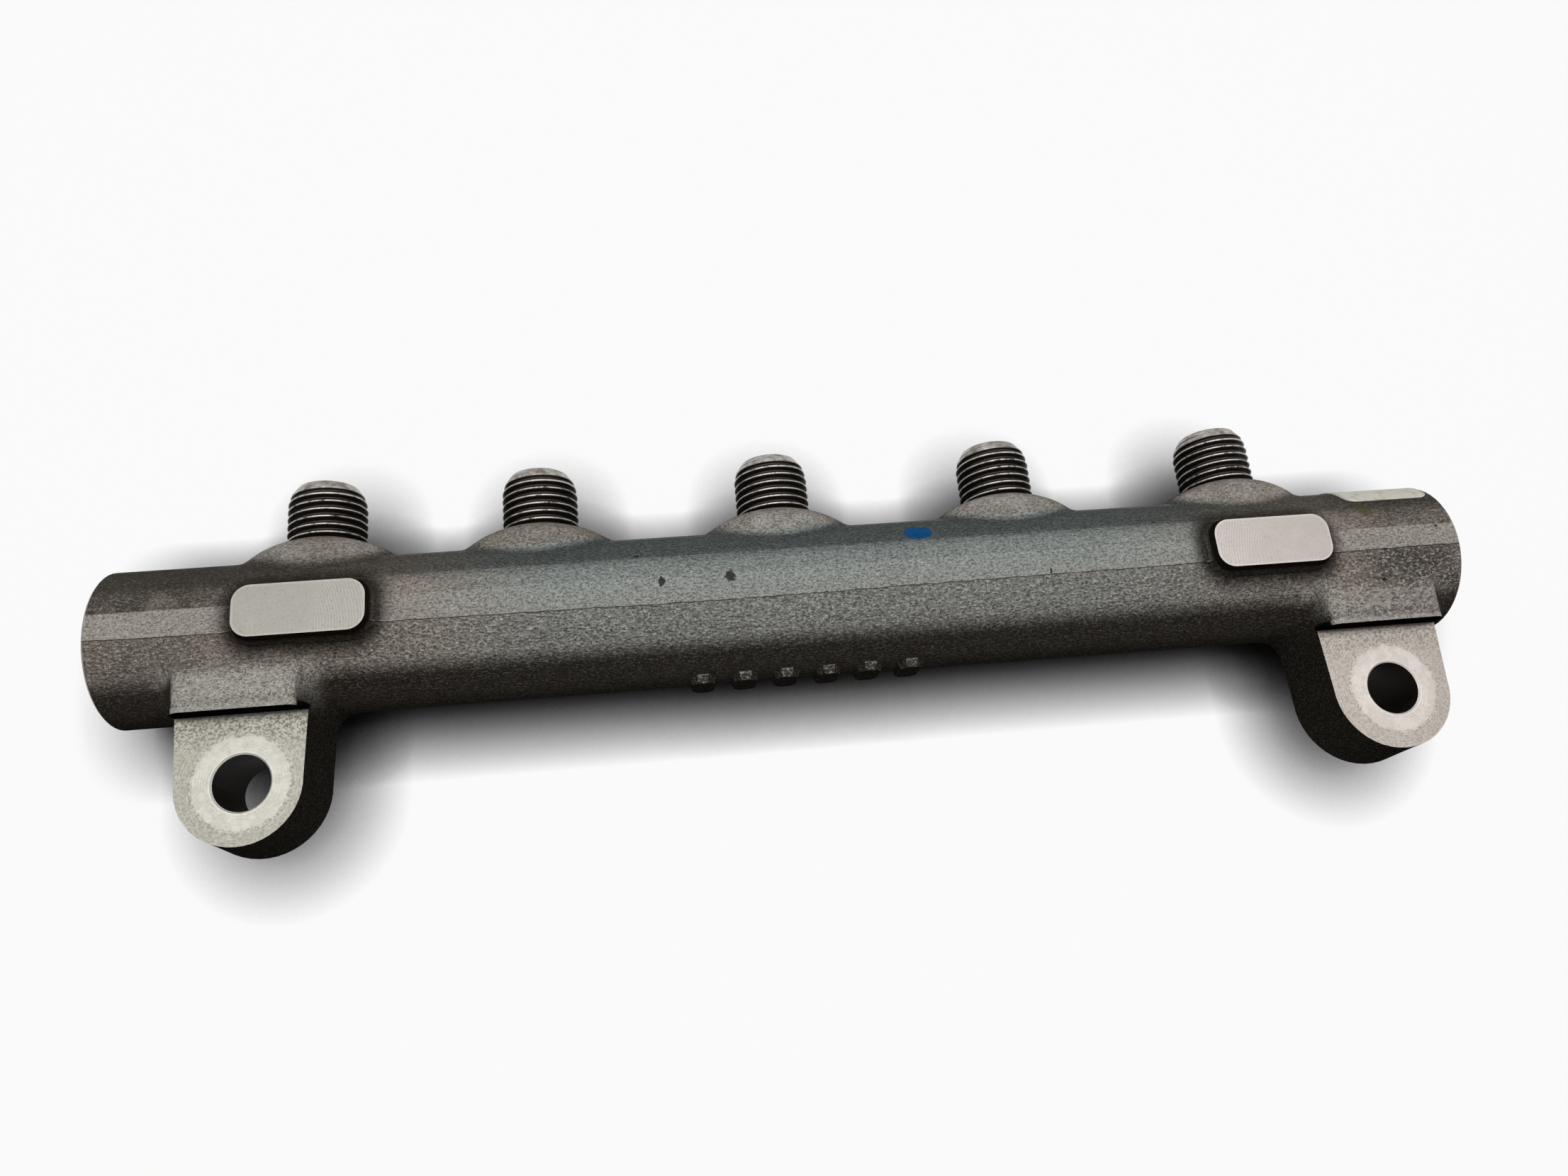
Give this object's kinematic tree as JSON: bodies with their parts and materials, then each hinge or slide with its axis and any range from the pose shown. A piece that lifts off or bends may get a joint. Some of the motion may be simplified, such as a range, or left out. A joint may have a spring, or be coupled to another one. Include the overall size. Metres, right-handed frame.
{
  "type": "fuel rail",
  "caption": "Forged high-pressure fuel rail: a straight steel tube with a row of threaded ports, two bolt lugs with milled seats, two milled pads and a bare label.",
  "frame": {"origin": "centre of the left end face, on the axis of the main bore", "axes": "+X along the rail from the left end to the right, +Y along the injector line ports, +Z towards the bolt heads and the pads"},
  "size_m": [0.244, 0.0669, 0.0301],
  "materials": {
    "forged_steel": "dark grey-brown blasted forging skin; milled seats and pads light grey with cutter arcs; ports black oxide",
    "label_film": "off-white matt label, bare, a little soiled"
  },
  "bodies": {
    "root": {"rail_body": "forged_steel", "label": "label_film"}
  },
  "joints": []
}
